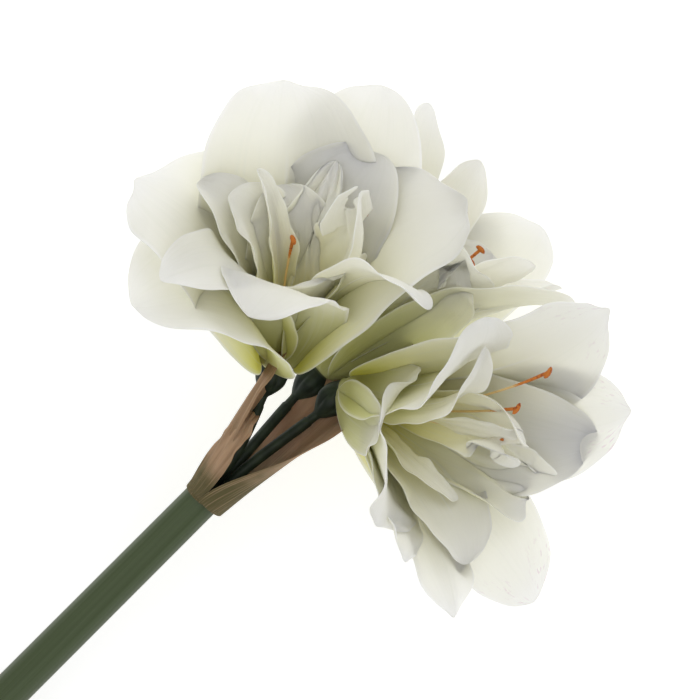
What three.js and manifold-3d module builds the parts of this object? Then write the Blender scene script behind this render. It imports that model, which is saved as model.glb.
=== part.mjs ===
// A cut stem of double-flowered amaryllis, lying on a flat surface.
//
// One hollow scape carries an umbel of three flowers. Each flower has its own stalk, which swells into a
// ribbed ovary and ends in a short cone. The petals sit round that cone in rings, one solid each, and the
// stamens stand on its tip. Papery valves of the spathe wrap the foot of the umbel.
//
// Millimetres. The flowers are laid out in a frame whose +Z is up from the surface, and in which the scape
// heads away to -X-Y. The finished group is turned so that the scape lies along X.

import * as THREE from "three";
import { mergeVertices } from "three/addons/utils/BufferGeometryUtils.js";
import Module from "manifold-3d";

const wasm = await Module();
wasm.setup();

// ---------------------------------------------------------------- driving dimensions

const SCAPE_HEADING = 45; // degrees from +X to the scape's line, in the layout frame
const SCAPE_DROP = 12.5; // degrees that the scape falls towards its cut end
const SCAPE_TOP = [-70.5, -71.2, 0];
const SCAPE_LENGTH = 268;
const SCAPE_RADIUS = { top: 9.4, cut: 10.1, hollow: 5.6 };
const SCAPE_ROOF = 22; // solid length above the hollow
const HOLLOW_DOME = 3.4; // height of the cone that closes the hollow
const SCAPE_SIDES = 32;
const STALK_GRID = [12, 22]; // sides and steps
const STALK_RADIUS = 2.8;
const OVARY = { length: 19, swell: 4.2, ribs: 3, ribDepth: 0.1 };
const NECK = 0.6; // the share of the cone's foot that a stalk has reached under the flower
const CONE = { height: 14.5, foot: 7.2, tip: 1.3 };
const STALK_RUN = 20; // how far a stalk follows the scape before it bends away
const CLAW_FLARE = 2; // how far a petal's claw leans out while it rises
const CLAW_RISE = 0.35; // the share of the belly's height up to which the claw stands up
const PLAIN_PETAL = { cup: 20, curl: 0, twist: 0, widest: 0.58, blunt: 2.1 };
const SPREAD_EASE = 0.8; // below 1, a petal opens sooner above its claw
const TWIST_SPAN = [0.1, 0.7]; // the part of a petal's length over which its twist builds up
const TIP_WIDTH = 0.985; // how near the pointed end a solid petal runs, so that its last edge has a width
const KNOB = { radius: 1.6, height: 4 };
const ANTHER = { thick: 1.3, long: 3.4 };
const PETAL_THICKNESS = 0.8;
const SPATHE_THICKNESS = 0.7;
const FILAMENT_RADIUS = 0.6;
const GAP = 0.5; // clear space between neighbouring solids
// How far cleaning may move a surface, in the order in which they are tried.
const SLACKS = [0.08, 0.06, 0.1, 0.05, 0.12, 0.04, 0.14, 0.03, 0.02, 0.01];
const TOUCH = 0.008; // the most, in cubic millimetres, that two cleaned solids may share
const RESTING_ORIGIN = [-123.2, -12.4, -67.8]; // the part's origin, in the layout frame turned onto X

// Where the claws of each ring of petals stand: out from the flower's axis, and up from its seat.
const RINGS = {
  outer: { radius: 8.2, height: 1.5, claw: 7.0 },
  middle: { radius: 6.3, height: 5, claw: 5.4 },
  inner: { radius: 4.6, height: 9, claw: 4.2 },
  core: { radius: 2.9, height: 12.5, claw: 2.8 },
};

const FINISH = {
  scape: { color: 0x3f4d2f, roughness: 0.5 },
  stalk: { color: 0x1c2a1e, roughness: 0.5 },
  spathe: { color: 0x8a6f52, roughness: 0.85 },
  petal: { color: 0xecebdd, roughness: 0.6 },
  stamen: { color: 0xd9792c, roughness: 0.8 },
};

// ---------------------------------------------------------------- the flowers

// seat: where the ovary ends and the petals begin. axis: the way that the flower opens.
// foot: where the stalk leaves the scape's top, as an azimuth and a reach round the scape's axis.
// ovary: the way that the ovary points.
//
// Every place on a petal is [azimuth, reach, rise]: degrees round the flower's axis, millimetres out from
// it, and millimetres up from the seat. A petal's rib runs from its ring through the belly to the tip.
const BLOOMS = {
  upper: {
    seat: [-36.5, -6, 10],
    axis: [0.16, 0.7, 0.7],
    ovary: [0.35, 0.85, 0.35],
    foot: [55, 4.8],
    petals: {
      left: { ring: "outer", belly: [72, 28, 54], tip: [62, 82, 84], width: 100, cup: 10 },
      lower_left: { ring: "outer", belly: [106, 28, 50], tip: [103, 82, 60], width: 94, cup: 12 },
      top: { ring: "outer", belly: [4, 26, 62], tip: [0, 80, 112], width: 92, cup: 22 },
      back: { ring: "outer", belly: [322, 31, 56], tip: [330, 92, 112], width: 76, cup: 16 },
      right: { ring: "outer", belly: [270, 25, 60], tip: [277, 79, 102], width: 90, cup: 18, curl: 6 },
      front_right: { ring: "outer", belly: [232, 22, 60], tip: [226, 73, 90], width: 44, cup: 10, twist: -40 },
      front: { ring: "outer", belly: [158, 21, 60], tip: [150, 66, 90], width: 64, cup: 8 },
      front_left: { ring: "middle", belly: [120, 22, 60], tip: [115, 78, 90], width: 52, cup: 16 },
      inner_left: { ring: "middle", belly: [60, 18, 56], tip: [56, 55, 92], width: 46, cup: 22 },
      inner_top: { ring: "middle", belly: [318, 18, 58], tip: [316, 62, 98], width: 66, cup: 20 },
      inner_front: { ring: "middle", belly: [208, 17, 50], tip: [205, 28, 82], width: 64, cup: 38 },
      folded: { ring: "inner", belly: [50, 14, 56], tip: [60, 38, 92], width: 46, cup: 34 },
      ribbon: { ring: "inner", belly: [34, 10, 55], tip: [33, 35, 100], width: 18, cup: 60 },
      inner_back: { ring: "inner", belly: [12, 10, 54], tip: [5, 33, 88], width: 48, cup: 30 },
      petaloid: { ring: "core", belly: [250, 18, 66], tip: [296, 22, 96], width: 44, cup: 50, blunt: 3.0 },
      petaloid_back: { ring: "core", belly: [340, 10, 56], tip: [333, 45, 97], width: 30, cup: 30 },
    },
    stamens: [
      [[20, 8, 50], [346, 26, 80]],
      [[30, 7, 45], [7, 10, 74]],
      [[290, 10, 60], [294, 39, 86]],
    ],
  },
  lower: {
    seat: [-2.5, -21, 5],
    axis: [0.72, -0.33, 0.61],
    ovary: [0.75, 0.6, 0.25],
    foot: [170, 4.8],
    petals: {
      bottom_right: { ring: "outer", belly: [222, 34, 52], tip: [220, 97, 100], width: 64, cup: 10 },
      right: { ring: "outer", belly: [284, 32, 55], tip: [286, 92, 105], width: 72, cup: 12 },
      top_right: { ring: "outer", belly: [330, 31, 55], tip: [329, 90, 104], width: 92, cup: 12 },
      top_left: { ring: "outer", belly: [28, 26, 52], tip: [24, 76, 92], width: 64, cup: 14 },
      upper_left: { ring: "outer", belly: [70, 22, 36], tip: [58, 46, 58], width: 52, cup: 24 },
      left: { ring: "outer", belly: [122, 26, 46], tip: [132, 58, 74], width: 66, cup: 18 },
      lower_left: { ring: "middle", belly: [152, 30, 48], tip: [156, 60, 82], width: 36, cup: 16 },
      bottom_left: { ring: "middle", belly: [184, 32, 50], tip: [187, 80, 92], width: 46, cup: 18 },
      inner_right: { ring: "middle", belly: [276, 24, 56], tip: [276, 80, 98], width: 64, blunt: 1.8 },
      bottom: { ring: "inner", belly: [196, 22, 54], tip: [194, 57, 90], width: 48 },
      inner_top: { ring: "middle", belly: [40, 17, 54], tip: [20, 57, 90], width: 28, cup: 35 },
      petaloid: { ring: "core", belly: [316, 16, 62], tip: [262, 18, 84], width: 38, cup: 60, blunt: 3.0 },
      rosette: { ring: "core", belly: [246, 28, 62], tip: [252, 57, 84], width: 38, cup: 50, blunt: 3.4 },
      drop: { ring: "inner", belly: [150, 14, 44], tip: [203, 30, 75], width: 16, cup: 36 },
      ribbon: { ring: "core", belly: [340, 8, 58], tip: [310, 22, 97], width: 12, cup: 30 },
    },
    stamens: [
      [[320, 14, 62], [332, 51, 98]],
      [[320, 11, 58], [328, 29, 92]],
      [[290, 9, 56], [292, 21, 87]],
    ],
  },
  rear: {
    seat: [-14, -11, -12],
    axis: [0.72, 0.67, 0.18],
    ovary: [0.72, 0.67, 0.1],
    foot: [290, 4.8],
    petals: {
      front_left: { ring: "outer", belly: [104, 26, 52], tip: [103, 41, 86], width: 62, cup: 24 },
      front_right: { ring: "outer", belly: [156, 25, 60], tip: [174, 63, 117], width: 57, cup: 24 },
      right: { ring: "outer", belly: [256, 30, 60], tip: [264, 80, 122], width: 62, cup: 12 },
      under: { ring: "outer", belly: [284, 30, 58], tip: [290, 74, 104], width: 62, cup: 16 },
      back: { ring: "outer", belly: [322, 32, 56], tip: [321, 94, 106], width: 56, cup: 16 },
      top: { ring: "outer", belly: [345, 28, 60], tip: [333, 77, 126], width: 46, cup: 24 },
      front: { ring: "middle", belly: [118, 22, 58], tip: [120, 44, 98], width: 46, cup: 26 },
      curled: { ring: "middle", belly: [150, 20, 60], tip: [152, 40, 117], width: 32, cup: 30 },
      inner_right: { ring: "middle", belly: [190, 22, 58], tip: [196, 50, 116], width: 46, cup: 26 },
      inner_under: { ring: "middle", belly: [256, 20, 54], tip: [262, 50, 98], width: 46, cup: 22 },
      inner_top: { ring: "middle", belly: [322, 16, 58], tip: [312, 42, 126], width: 44, cup: 30 },
    },
    stamens: [
      [[20, 8, 70], [335, 13, 107]],
      [[60, 8, 70], [3, 9, 100]],
      [[200, 8, 66], [223, 11, 100]],
      [[170, 8, 62], [188, 10, 93]],
    ],
  },
};

// The spathe's valves are shaped like petals, round the scape's own axis.
const VALVES = {
  back: { ring: "wide", from: 190, belly: [232, 20, 62], tip: [262, 24, 126], width: 54, cup: 34 },
  left: { ring: "tight", from: 30, belly: [32, 22, 56], tip: [352, 26, 92], width: 26, cup: 50 },
  bracteole: { ring: "narrow", from: 70, belly: [66, 18, 26], tip: [46, 17, 47], width: 19, cup: 26 },
};
const VALVE_RINGS = {
  wide: { radius: 12.3, height: -4, claw: 40 },
  narrow: { radius: 11.4, height: -3, claw: 10 },
  tight: { radius: 10.4, height: -5, claw: 30 },
};

// ---------------------------------------------------------------- vectors and frames

const vector = ([x, y, z]) => new THREE.Vector3(x, y, z);
const radians = THREE.MathUtils.degToRad;
const smooth = THREE.MathUtils.smoothstep;

const heading = radians(SCAPE_HEADING);
const drop = radians(SCAPE_DROP);
const scapeAxis = vector([
  Math.cos(heading) * Math.cos(drop),
  Math.sin(heading) * Math.cos(drop),
  Math.sin(drop),
]);

// A frame round an axis, with azimuth 0 at the side nearest +Y.
function frameRound(seat, axis) {
  const origin = vector(seat);
  const up = axis.clone().normalize();
  const back = new THREE.Vector3(0, 1, 0).projectOnPlane(up).normalize();
  const side = up.clone().cross(back);
  const outward = (azimuth) =>
    back
      .clone()
      .multiplyScalar(Math.cos(radians(azimuth)))
      .addScaledVector(side, Math.sin(radians(azimuth)));
  const place = ([azimuth, reach, rise]) =>
    origin.clone().addScaledVector(up, rise).addScaledVector(outward(azimuth), reach);
  return { origin, up, outward, place };
}

// ---------------------------------------------------------------- closed surfaces

function geometryOf(points, faces) {
  const geometry = new THREE.BufferGeometry();
  const flat = points.flatMap((p) => [p.x, p.y, p.z]);
  geometry.setAttribute("position", new THREE.Float32BufferAttribute(flat, 3));
  geometry.setIndex(faces.flat());
  return geometry;
}

// A thin shell, half on each side of the surface at(s, t), where s runs across it and t along it.
function shell(at, across, along, halfThickness) {
  const step = 1e-3;
  const inner = [];
  const outer = [];
  for (let j = 0; j <= along; j++) {
    for (let i = 0; i <= across; i++) {
      const s = (2 * i) / across - 1;
      const t = j / along;
      const acrossStep = at(s + step, t).sub(at(s - step, t));
      const alongStep = at(s, t + step).sub(at(s, t - step));
      const normal = alongStep.cross(acrossStep).normalize();
      inner.push(at(s, t).addScaledVector(normal, halfThickness));
      outer.push(at(s, t).addScaledVector(normal, -halfThickness));
    }
  }
  const row = across + 1;
  const under = inner.length;
  const faces = [];
  for (let j = 0; j < along; j++) {
    for (let i = 0; i < across; i++) {
      const a = j * row + i;
      const [b, c, d] = [a + 1, a + row + 1, a + row];
      faces.push([a, c, b], [a, d, c]);
      faces.push([under + a, under + b, under + c], [under + a, under + c, under + d]);
    }
  }
  const rim = [];
  for (let i = 0; i < across; i++) rim.push(i);
  for (let j = 0; j < along; j++) rim.push(j * row + across);
  for (let i = across; i > 0; i--) rim.push(along * row + i);
  for (let j = along; j > 0; j--) rim.push(j * row);
  rim.forEach((a, k) => {
    const b = rim[(k + 1) % rim.length];
    faces.push([a, b, under + b], [a, under + b, under + a]);
  });
  return geometryOf([...inner, ...outer], faces);
}

// A tube along a curve, closed at both ends, with radius(t, angle).
function tube(curve, radius, sides, steps) {
  const { normals, binormals } = curve.computeFrenetFrames(steps, false);
  const points = [];
  const faces = [];
  for (let j = 0; j <= steps; j++) {
    const centre = curve.getPointAt(j / steps);
    for (let i = 0; i < sides; i++) {
      const angle = (2 * Math.PI * i) / sides;
      const r = radius(j / steps, angle);
      points.push(
        centre
          .clone()
          .addScaledVector(normals[j], r * Math.cos(angle))
          .addScaledVector(binormals[j], r * Math.sin(angle)),
      );
    }
  }
  for (let j = 0; j < steps; j++) {
    for (let i = 0; i < sides; i++) {
      const [a, b] = [j * sides + i, j * sides + ((i + 1) % sides)];
      faces.push([a, b, b + sides], [a, b + sides, a + sides]);
    }
  }
  const last = steps * sides;
  for (let i = 1; i < sides - 1; i++) {
    faces.push([0, i + 1, i], [last, last + i, last + i + 1]);
  }
  return geometryOf(points, faces);
}

// ---------------------------------------------------------------- solids

function solidOf(geometry) {
  const bare = new THREE.BufferGeometry();
  bare.setAttribute("position", geometry.getAttribute("position"));
  bare.setIndex(geometry.getIndex());
  const merged = mergeVertices(bare, 1e-5);
  const mesh = new wasm.Mesh({
    numProp: 3,
    vertProperties: new Float32Array(merged.getAttribute("position").array),
    triVerts: new Uint32Array(merged.getIndex().array),
  });
  return new wasm.Manifold(mesh);
}

function geometryOfSolid(solid) {
  const { vertProperties, triVerts } = solid.getMesh();
  const geometry = new THREE.BufferGeometry();
  geometry.setAttribute("position", new THREE.BufferAttribute(vertProperties, 3));
  geometry.setIndex(new THREE.BufferAttribute(triVerts, 1));
  return geometry;
}

function boxesMeet(a, b) {
  const [p, q] = [a.boundingBox(), b.boundingBox()];
  return [0, 1, 2].every((k) => p.min[k] < q.max[k] && q.min[k] < p.max[k]);
}

function distanceTo(solid, point) {
  const { vertProperties } = solid.getMesh();
  let least = Infinity;
  for (let i = 0; i < vertProperties.length; i += 3) {
    const [x, y, z] = vertProperties.slice(i, i + 3);
    least = Math.min(least, Math.hypot(x - point.x, y - point.y, z - point.z));
  }
  return least;
}

// The part of a solid that still holds the piece's foot.
function rooted(solid, foot) {
  return solid
    .decompose()
    .reduce((best, part) => (distanceTo(part, foot) < distanceTo(best, foot) ? part : best));
}

// Whether every edge of a solid is still its own when corners less than a thousandth apart are joined.
function edgesApart(solid) {
  const { vertProperties, triVerts } = solid.getMesh();
  const corner = (i) => [...vertProperties.slice(3 * i, 3 * i + 3)].map((x) => Math.round(x * 1000)).join();
  const edges = [];
  for (let i = 0; i < triVerts.length; i += 3) {
    const [a, b, c] = [...triVerts.slice(i, i + 3)].map(corner);
    if (a !== b && b !== c && c !== a) edges.push(`${a} ${b}`, `${b} ${c}`, `${c} ${a}`);
  }
  return new Set(edges).size === edges.length;
}

// The solid without the slivers that cuts leave, by the first slack that keeps its edges apart and keeps it
// clear of the solids that are already clean.
function cleaned({ name, solid, foot }, neighbours) {
  const clearOf = (tidy) => (other) => !boxesMeet(tidy, other) || tidy.intersect(other).volume() < TOUCH;
  for (const slack of SLACKS) {
    const tidy = rooted(solid.asOriginal().simplify(slack), foot);
    if (edgesApart(tidy) && neighbours.every(clearOf(tidy))) return tidy;
  }
  throw new Error(`${name} can't be cleaned`);
}

// Two pieces that meet are parted by cutting the one that loses less by it.
function partPieces(a, b) {
  if (!boxesMeet(a.guard, b.guard) || a.solid.intersect(b.guard).isEmpty()) return;
  const cutA = rooted(a.solid.subtract(b.guard), a.foot);
  const cutB = rooted(b.solid.subtract(a.guard), b.foot);
  const lossA = a.fixed ? Infinity : a.solid.volume() - cutA.volume();
  const lossB = b.fixed ? Infinity : b.solid.volume() - cutB.volume();
  if (lossA < lossB) a.solid = cutA;
  else b.solid = cutB;
}

function partAll(pieces) {
  for (let i = 0; i < pieces.length; i++) {
    for (let j = i + 1; j < pieces.length; j++) {
      if (!(pieces[i].fixed && pieces[j].fixed)) partPieces(pieces[i], pieces[j]);
    }
  }
}

// ---------------------------------------------------------------- petals and valves

// The middle surface of a petal, as a function of s (-1 to 1 across) and t (0 at the claw, 1 at the tip).
function petalSurface(frame, ring, petal, grow) {
  const { belly, tip, width, cup, curl, twist, widest, blunt } = { ...PLAIN_PETAL, ...petal };
  const from = petal.from ?? belly[0];
  const start = frame.place([from, ring.radius, ring.height]);
  const rising = frame.place([from, ring.radius + CLAW_FLARE, ring.height + belly[2] * CLAW_RISE]);
  const end = frame.place(tip);
  const through = frame.place(belly);
  const easing = through
    .multiplyScalar(8)
    .sub(start)
    .addScaledVector(rising, -3)
    .sub(end)
    .divideScalar(3);
  const rib = new THREE.CubicBezierCurve3(start, rising, easing, end);
  const extra = grow / rib.getLength();
  const swing = ((tip[0] - from + 540) % 360) - 180;

  return (s, place) => {
    const inside = THREE.MathUtils.clamp(place, 0, 1);
    const t = place + (place >= 1 ? extra : 0) - (place <= 0 ? extra : 0);
    const claw = ring.claw / 2;
    const spread = Math.sin((Math.PI / 2) * Math.min(1, inside / widest)) ** SPREAD_EASE;
    const past = Math.max(0, (inside - widest) / (1 - widest));
    const taper = Math.pow(Math.max(0, 1 - Math.pow(past * TIP_WIDTH, blunt)), 1 / blunt);
    const half = (claw + (width / 2 - claw) * spread) * taper + grow;
    const bend = THREE.MathUtils.lerp(claw / ring.radius, radians(cup), smooth(inside, 0, 0.5));
    const out = frame.outward(from + swing * inside);
    const along = rib.getTangent(inside);
    const turn = radians(twist) * smooth(inside, ...TWIST_SPAN);
    const sideways = frame.up.clone().cross(out).projectOnPlane(along).normalize();
    sideways.applyAxisAngle(along, turn);
    const inward = along.clone().cross(sideways);
    const x = (half * Math.sin(s * bend)) / bend;
    const y = (half * (1 - Math.cos(s * bend))) / bend - curl * Math.abs(s) ** 3 * smooth(inside, 0.3, 0.9);
    return rib.getPoint(t).addScaledVector(sideways, x).addScaledVector(inward, y);
  };
}

function petalPiece(name, frame, ring, petal, thickness, finish) {
  const [across, along] = petal.width > 30 ? [5, 7] : [4, 6];
  const build = (grow) =>
    solidOf(shell(petalSurface(frame, ring, petal, grow), across, along, thickness / 2 + grow));
  const foot = frame.place([petal.from ?? petal.belly[0], ring.radius, ring.height]);
  return { name, foot, finish, solid: build(0), guard: build(GAP).add(build(0)) };
}

// ---------------------------------------------------------------- stalks, stamens and scape

function stalkPiece(name, bloom, frame) {
  const leave = scapeFrame.place([...bloom.foot, 3 * GAP]);
  const ovaryAxis = vector(bloom.ovary).normalize();
  const ovaryFoot = frame.origin.clone().addScaledVector(ovaryAxis, -OVARY.length);
  const curve = new THREE.CatmullRomCurve3([
    leave,
    leave.clone().addScaledVector(scapeAxis, STALK_RUN),
    ovaryFoot,
    frame.origin.clone(),
    frame.place([0, 0, CONE.height]),
  ]);
  const length = curve.getLength();
  const seatAt = length - CONE.height;
  const radius = (t, angle) => {
    const past = t * length - seatAt;
    const swelling = Math.sin(Math.PI * THREE.MathUtils.clamp((past + OVARY.length) / OVARY.length, 0, 1));
    const ribs = 1 + OVARY.ribDepth * swelling * Math.cos(OVARY.ribs * angle);
    if (past > 0) return THREE.MathUtils.lerp(CONE.foot, CONE.tip, Math.min(1, past / CONE.height));
    const neck = smooth(past, -OVARY.length, 0) * (CONE.foot - STALK_RADIUS);
    return (STALK_RADIUS + neck * NECK + OVARY.swell * swelling) * ribs;
  };
  const build = (grow) => solidOf(tube(curve, (t, angle) => radius(t, angle) + grow, ...STALK_GRID));
  return { name, foot: leave, finish: FINISH.stalk, solid: build(0), guard: build(GAP), fixed: true };
}

function stamensPiece(name, bloom, frame) {
  const build = (grow) => {
    const base = frame.place([0, 0, CONE.height + GAP - grow]);
    const knob = new THREE.LineCurve3(base, frame.place([0, 0, CONE.height + KNOB.height + grow]));
    let joined = solidOf(tube(knob, () => KNOB.radius + grow, 8, 1));
    for (const [bend, end] of bloom.stamens) {
      const root = frame.place([0, 0, CONE.height + KNOB.height / 2]);
      const filament = new THREE.QuadraticBezierCurve3(root, frame.place(bend), frame.place(end));
      joined = joined.add(solidOf(tube(filament, () => FILAMENT_RADIUS + grow, 5, 6)));
      const anther = new THREE.SphereGeometry(1, 7, 5);
      anther.scale(ANTHER.thick + grow, ANTHER.long + grow, ANTHER.thick + grow);
      const turn = new THREE.Quaternion().setFromUnitVectors(
        new THREE.Vector3(0, 1, 0),
        frame.outward(end[0]),
      );
      anther.applyQuaternion(turn);
      anther.translate(...frame.place(end).toArray());
      joined = joined.add(solidOf(anther));
    }
    return joined;
  };
  const foot = frame.place([0, 0, CONE.height]);
  return { name, foot, finish: FINISH.stamen, solid: build(0), guard: build(GAP), fixed: true };
}

function scapePiece() {
  const { top, cut, hollow } = SCAPE_RADIUS;
  const profile = [
    [0, -SCAPE_ROOF],
    [hollow, -SCAPE_ROOF - HOLLOW_DOME],
    [hollow, -SCAPE_LENGTH],
    [cut, -SCAPE_LENGTH],
    [top, 0],
    [0, 0],
  ].map(([r, h]) => new THREE.Vector2(r, h));
  const geometry = new THREE.LatheGeometry(profile, SCAPE_SIDES);
  geometry.applyQuaternion(new THREE.Quaternion().setFromUnitVectors(new THREE.Vector3(0, 1, 0), scapeAxis));
  geometry.translate(...SCAPE_TOP);
  const solid = solidOf(geometry);
  return { name: "scape", foot: vector(SCAPE_TOP), finish: FINISH.scape, solid, guard: solid, fixed: true };
}

// ---------------------------------------------------------------- the whole flower stem

const scapeFrame = frameRound(SCAPE_TOP, scapeAxis);
const pieces = [scapePiece()];
for (const [bloomName, bloom] of Object.entries(BLOOMS)) {
  const frame = frameRound(bloom.seat, vector(bloom.axis));
  pieces.push(stalkPiece(`${bloomName}_flower_stalk`, bloom, frame));
  pieces.push(stamensPiece(`${bloomName}_stamens`, bloom, frame));
  for (const [petalName, petal] of Object.entries(bloom.petals)) {
    const name = `${bloomName}_petal_${petalName}`;
    pieces.push(petalPiece(name, frame, RINGS[petal.ring], petal, PETAL_THICKNESS, FINISH.petal));
  }
}
for (const [valveName, valve] of Object.entries(VALVES)) {
  const ring = VALVE_RINGS[valve.ring];
  const name = `spathe_${valveName}`;
  pieces.push(petalPiece(name, scapeFrame, ring, valve, SPATHE_THICKNESS, FINISH.spathe));
}

partAll(pieces);

const layout = new THREE.Group();
const clean = [];
for (const piece of pieces) {
  const solid = cleaned(piece, clean);
  clean.push(solid);
  const finish = new THREE.MeshStandardMaterial(piece.finish);
  const mesh = new THREE.Mesh(geometryOfSolid(solid), finish);
  mesh.name = piece.name;
  layout.add(mesh);
}
layout.rotation.z = -heading;
layout.position.set(...RESTING_ORIGIN).negate();

const amaryllis = new THREE.Group();
amaryllis.add(layout);

export default amaryllis;
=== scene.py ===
"""A cut stem of double-flowered amaryllis, lying on a pale surface.

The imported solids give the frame. Every one of them is stood for by a finished piece made here: silky petals,
papery valves of the spathe, ribbed ovaries on their stalks, stamens and the hollow scape. Places are laid out
in millimetres in a frame whose +Z is up and in which the scape heads away to -X-Y, and are then turned and
scaled into the part's own frame.
"""

import math

import bpy
import numpy as np
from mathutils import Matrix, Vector


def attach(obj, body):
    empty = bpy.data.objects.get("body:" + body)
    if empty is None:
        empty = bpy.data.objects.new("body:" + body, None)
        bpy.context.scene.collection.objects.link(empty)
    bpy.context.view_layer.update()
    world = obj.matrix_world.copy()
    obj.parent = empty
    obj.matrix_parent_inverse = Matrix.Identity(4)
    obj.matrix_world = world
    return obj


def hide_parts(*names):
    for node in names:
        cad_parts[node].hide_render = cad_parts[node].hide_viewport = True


bl_info = {
    "name": "Double Amaryllis Stem",
    "version": (1, 0, 0),
    "blender": (4, 5, 0),
    "location": "View3D > Sidebar > Amaryllis",
    "description": "Builds a cut stem of double amaryllis round its packed solids",
    "category": "Add Mesh",
}

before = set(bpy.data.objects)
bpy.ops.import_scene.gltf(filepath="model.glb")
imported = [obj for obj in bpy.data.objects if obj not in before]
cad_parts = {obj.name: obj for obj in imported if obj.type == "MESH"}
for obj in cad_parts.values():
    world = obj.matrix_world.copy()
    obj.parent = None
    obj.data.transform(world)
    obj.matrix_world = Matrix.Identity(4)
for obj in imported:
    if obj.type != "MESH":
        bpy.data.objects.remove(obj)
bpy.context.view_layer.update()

# ---------------------------------------------------------------- driving dimensions, in layout millimetres

MM = 0.001
SCAPE_HEADING = 45.0
SCAPE_DROP = 12.5
SCAPE_TOP = (-70.5, -71.2, 0.0)
SCAPE_LENGTH = 268.0
SCAPE_RADIUS = {"top": 9.4, "cut": 10.1, "hollow": 5.6}
SCAPE_ROOF = 22.0
STALK_RADIUS = 2.8
OVARY = {"length": 19.0, "swell": 4.2, "ribs": 3, "rib_depth": 0.1}
CONE = {"height": 14.5, "foot": 7.2, "tip": 1.3}
STALK_START = 1.5
STALK_RUN = 20
STALK_STEPS = 120
NECK = 0.6
CLAW_FLARE = 2
CLAW_RISE = 0.35
SPREAD_EASE = 0.8
TWIST_SPAN = (0.1, 0.7)
TIP_WIDTH = 0.9997
NIB_BREADTH = 5
SHARP_ANGLE = 60
RESTING_ORIGIN = (-123.2, -12.4, -67.8)

# Where the claws of each ring stand: out from the flower's axis, up from its seat, and how wide they are.
RINGS = {
    "outer": {"radius": 8.2, "height": 1.5, "claw": 7.0},
    "middle": {"radius": 6.3, "height": 5.0, "claw": 5.4},
    "inner": {"radius": 4.6, "height": 9.0, "claw": 4.2},
    "core": {"radius": 2.9, "height": 12.5, "claw": 2.8},
}
VALVE_RINGS = {
    "wide": {"radius": 12.3, "height": -4.0, "claw": 40.0},
    "narrow": {"radius": 11.4, "height": -3.0, "claw": 10.0},
    "tight": {"radius": 10.4, "height": -5.0, "claw": 30.0},
}

# How a petal differs from a plain one. cup: how far it is bent across, in degrees. curl: how far its long
# edges turn out. twist: how far it is turned about its own rib, in degrees. ruffle and waves: how its edge
# wavers. crumple: how creased the cloth is. nib: the small point on its tip. blush: how strongly its tip is
# speckled. widest and blunt: where it is broadest, and how square its end is.
PETAL = {
    "cup": 20,
    "curl": 0,
    "twist": 0,
    "widest": 0.58,
    "blunt": 2.1,
    "ruffle": 1.6,
    "waves": 2.5,
    "pleat": 0.5,
    "crumple": 0.0,
    "nib": 1.5,
    "blush": 0.0,
    "thickness": 0.56,
}


def petal(ring, belly, tip, width, **changes):
    """A petal's rib runs from its ring through the belly to the tip, each an (azimuth, reach, rise)."""
    return {**PETAL, "ring": ring, "belly": belly, "tip": tip, "width": width, **changes}


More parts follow.
